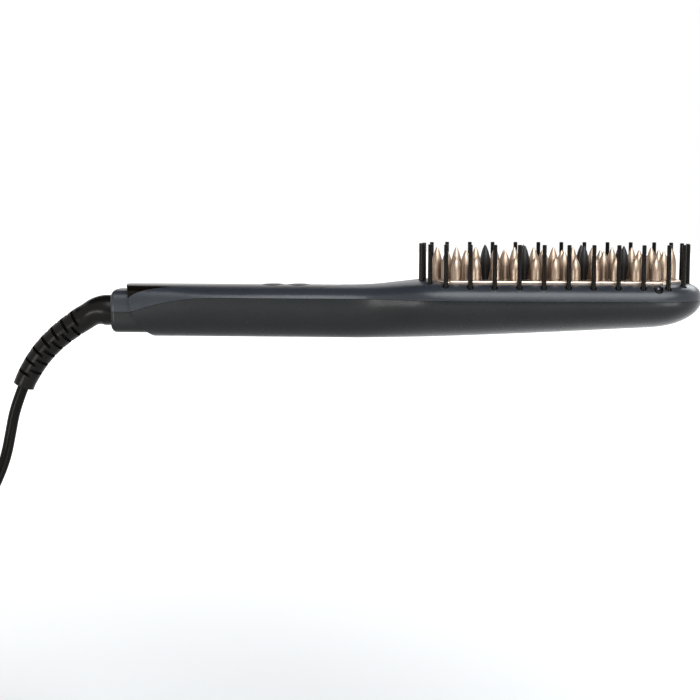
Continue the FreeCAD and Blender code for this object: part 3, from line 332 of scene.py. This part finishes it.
def cord_points():
    """Control points of the whole cord: down from the bend relief, round the coil and on to the plug."""
    along = Vector((-math.cos(BOOT_END_TURN), 0.0, -math.sin(BOOT_END_TURN)))
    points = [BOOT_END, BOOT_END + along * CORD_FIRST_RUN]
    points += [Vector(point) for point in CORD_ROUTE]
    start = COIL_START.copy()
    radius = COIL_OUTER_RADIUS
    step = COIL_PITCH / 2
    inward = True
    side = -1
    for layer in range(COIL_LAYERS):
        count = COIL_NEXT_HALVES if layer else COIL_FIRST_HALVES
        last = layer == COIL_LAYERS - 1
        climbs = [0.0] * count + ([] if last else [COIL_PITCH])
        for climb in climbs:
            points += half_turn(start, radius, side, climb)
            start = start + Vector((side * 2 * radius, climb, 0.0))
            side = -side
            if climb:
                inward = not inward
            radius += -step if inward else step
    points += [Vector(point) for point in TAIL_ROUTE]
    points.append(PLUG_ENTRY)
    return points


def half_turn(start, radius, side, climb):
    """Control points of one half turn, far enough out for the spline between them to lie on the turn."""
    spacing = math.pi / COIL_POINTS_PER_HALF
    reach = radius / math.cos(spacing / 2)
    centre = start + Vector((side * radius, climb / 2, 0.0))
    points = []
    for index in range(COIL_POINTS_PER_HALF):
        turn = spacing * (2 * index + 1) / 2
        across = -side * reach * math.cos(turn)
        rise = -climb / 2 * math.cos(turn)
        points.append(centre + Vector((across, rise, side * reach * math.sin(turn))))
    return points


def mains_cord(material):
    curve = bpy.data.curves.new("mains_cord", "CURVE")
    curve.dimensions = "3D"
    curve.bevel_depth = CORD_DIAMETER / 2
    curve.bevel_resolution = CORD_ROUND_STEPS
    curve.resolution_u = CORD_LENGTH_STEPS
    curve.use_fill_caps = True
    points = cord_points()
    spline = curve.splines.new("NURBS")
    spline.points.add(len(points) - 1)
    for point, place in zip(spline.points, points):
        point.co = (*place, 1.0)
    spline.order_u = CORD_SPLINE_ORDER
    spline.use_endpoint_u = True
    curve.materials.append(material)
    cord = bpy.data.objects.new("mains_cord", curve)
    bpy.context.scene.collection.objects.link(cord)
    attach(cord, "cord_set")
    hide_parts("cord_lead", "cord_coil", "cord_tail")


def stage_mesh(name, corners, faces, material):
    mesh = bpy.data.meshes.new(name)
    mesh.from_pydata(corners, [], faces)
    mesh.materials.append(material)
    made = bpy.data.objects.new(name, mesh)
    bpy.context.scene.collection.objects.link(made)
    return made


def matt(name, shade, roughness):
    """A plain stage material without gloss."""
    material, shader, tree = new_material(name)
    shader.inputs["Base Color"].default_value = grey(shade)
    shader.inputs["Roughness"].default_value = roughness
    shader.inputs["Specular IOR Level"].default_value = 0.0
    return material, shader, tree


def seen_directly(tree):
    """1 for rays from the camera, from gloss and through glass, 0 for light that falls on a surface."""
    path = add_node(tree, "ShaderNodeLightPath")
    first = add_node(tree, "ShaderNodeMath", operation="MAXIMUM")
    second = add_node(tree, "ShaderNodeMath", operation="MAXIMUM")
    tree.links.new(path.outputs["Is Camera Ray"], first.inputs[0])
    tree.links.new(path.outputs["Is Glossy Ray"], first.inputs[1])
    tree.links.new(first.outputs["Value"], second.inputs[0])
    tree.links.new(path.outputs["Is Transmission Ray"], second.inputs[1])
    return second.outputs["Value"]


def floor():
    """A pale floor that glows white to the eye away from the brush and keeps its shadow."""
    material, shader, tree = matt("floor_paper", FLOOR_SHADE, FLOOR_ROUGHNESS)
    shader.inputs["Emission Color"].default_value = grey(WORLD_WHITE)
    place = add_node(tree, "ShaderNodeTexCoord")
    radius = add_node(tree, "ShaderNodeVectorMath", operation="LENGTH")
    rise = add_node(tree, "ShaderNodeMapRange")
    rise.inputs["From Min"].default_value = GLOW_NEAR_RADIUS
    rise.inputs["From Max"].default_value = GLOW_FAR_RADIUS
    rise.inputs["To Min"].default_value = GLOW_NEAR
    rise.inputs["To Max"].default_value = GLOW_FAR
    glow = add_node(tree, "ShaderNodeMath", operation="MULTIPLY")
    tree.links.new(place.outputs["Object"], radius.inputs[0])
    tree.links.new(radius.outputs["Value"], rise.inputs["Value"])
    tree.links.new(rise.outputs["Result"], glow.inputs[0])
    tree.links.new(seen_directly(tree), glow.inputs[1])
    tree.links.new(glow.outputs["Value"], shader.inputs["Emission Strength"])
    half = FLOOR_HALF
    low = cad_low.z - FLOOR_DROP
    corners = [(-half, -half, low), (half, -half, low), (half, half, low), (-half, half, low)]
    stage_mesh("floor", corners, [(0, 1, 2, 3)], material)


def dark_flags():
    """A dark curved screen behind the camera and one overhead, which only reflections and light see."""
    material = matt("flag_cloth", FLAG_SHADE, FLAG_ROUGHNESS)[0]
    low = cad_low.z - FLOOR_DROP
    corners = []
    for index in range(FLAG_STEPS + 1):
        turn = FLAG_LEFT + (FLAG_RIGHT - FLAG_LEFT) * index / FLAG_STEPS
        x = STUDIO_AIM.x + FLAG_RADIUS * math.sin(turn)
        y = -FLAG_RADIUS * math.cos(turn)
        corners += [(x, y, low), (x, y, FLAG_TOP)]
    faces = [(2 * index, 2 * index + 2, 2 * index + 3, 2 * index + 1) for index in range(FLAG_STEPS)]
    front = stage_mesh("front_flag", corners, faces, material)
    front.visible_camera = False
    left = STUDIO_AIM.x - CEILING_HALF
    right = STUDIO_AIM.x + CEILING_HALF
    corners = [(left, CEILING_FRONT, CEILING_HEIGHT), (right, CEILING_FRONT, CEILING_HEIGHT),
               (right, CEILING_BACK, CEILING_HEIGHT), (left, CEILING_BACK, CEILING_HEIGHT)]
    overhead = stage_mesh("overhead_flag", corners, [(0, 1, 2, 3)], material)
    overhead.visible_camera = False


def softbox(name, azimuth, elevation, distance, width, height, radiance, colour):
    """A rectangular lamp that faces the brush."""
    turn = math.radians(azimuth)
    lift = math.radians(elevation)
    out = Vector((math.sin(turn) * math.cos(lift), -math.cos(turn) * math.cos(lift), math.sin(lift)))
    lamp = bpy.data.lights.new(name, "AREA")
    lamp.shape = "RECTANGLE"
    lamp.size = width
    lamp.size_y = height
    lamp.energy = radiance * math.pi * width * height
    lamp.color = colour
    made = bpy.data.objects.new(name, lamp)
    made.location = STUDIO_AIM + out * distance
    made.rotation_euler = (-out).to_track_quat("-Z", "Y").to_euler()
    bpy.context.scene.collection.objects.link(made)


def studio_world():
    world = bpy.data.worlds.new("studio")
    world.use_nodes = True
    bpy.context.scene.world = world
    tree = world.node_tree
    background = tree.nodes["Background"]
    background.inputs["Color"].default_value = grey(WORLD_WHITE)
    level = add_node(tree, "ShaderNodeMapRange")
    level.inputs["To Min"].default_value = WORLD_FILL
    level.inputs["To Max"].default_value = WORLD_WHITE
    tree.links.new(seen_directly(tree), level.inputs["Value"])
    tree.links.new(level.outputs["Result"], background.inputs["Strength"])


def camera():
    data = bpy.data.cameras.new("camera")
    data.lens = CAMERA_LENS
    data.sensor_width = SENSOR_WIDTH
    made = bpy.data.objects.new("camera", data)
    made.location = CAMERA_PLACE
    made.rotation_euler = (math.pi / 2 - CAMERA_PITCH, 0.0, CAMERA_YAW)
    bpy.context.scene.collection.objects.link(made)
    bpy.context.scene.camera = made


camera()
plastics = {name: moulded(name, **values) for name, values in PLASTICS.items()}
for name, values in METALS.items():
    worked_metal(name, **values)
mains_cord(plastics["cord_jacket"])
floor()
dark_flags()
studio_world()
for name, values in SOFTBOXES.items():
    softbox(name, **values)
bpy.context.scene.view_settings.view_transform = "Standard"
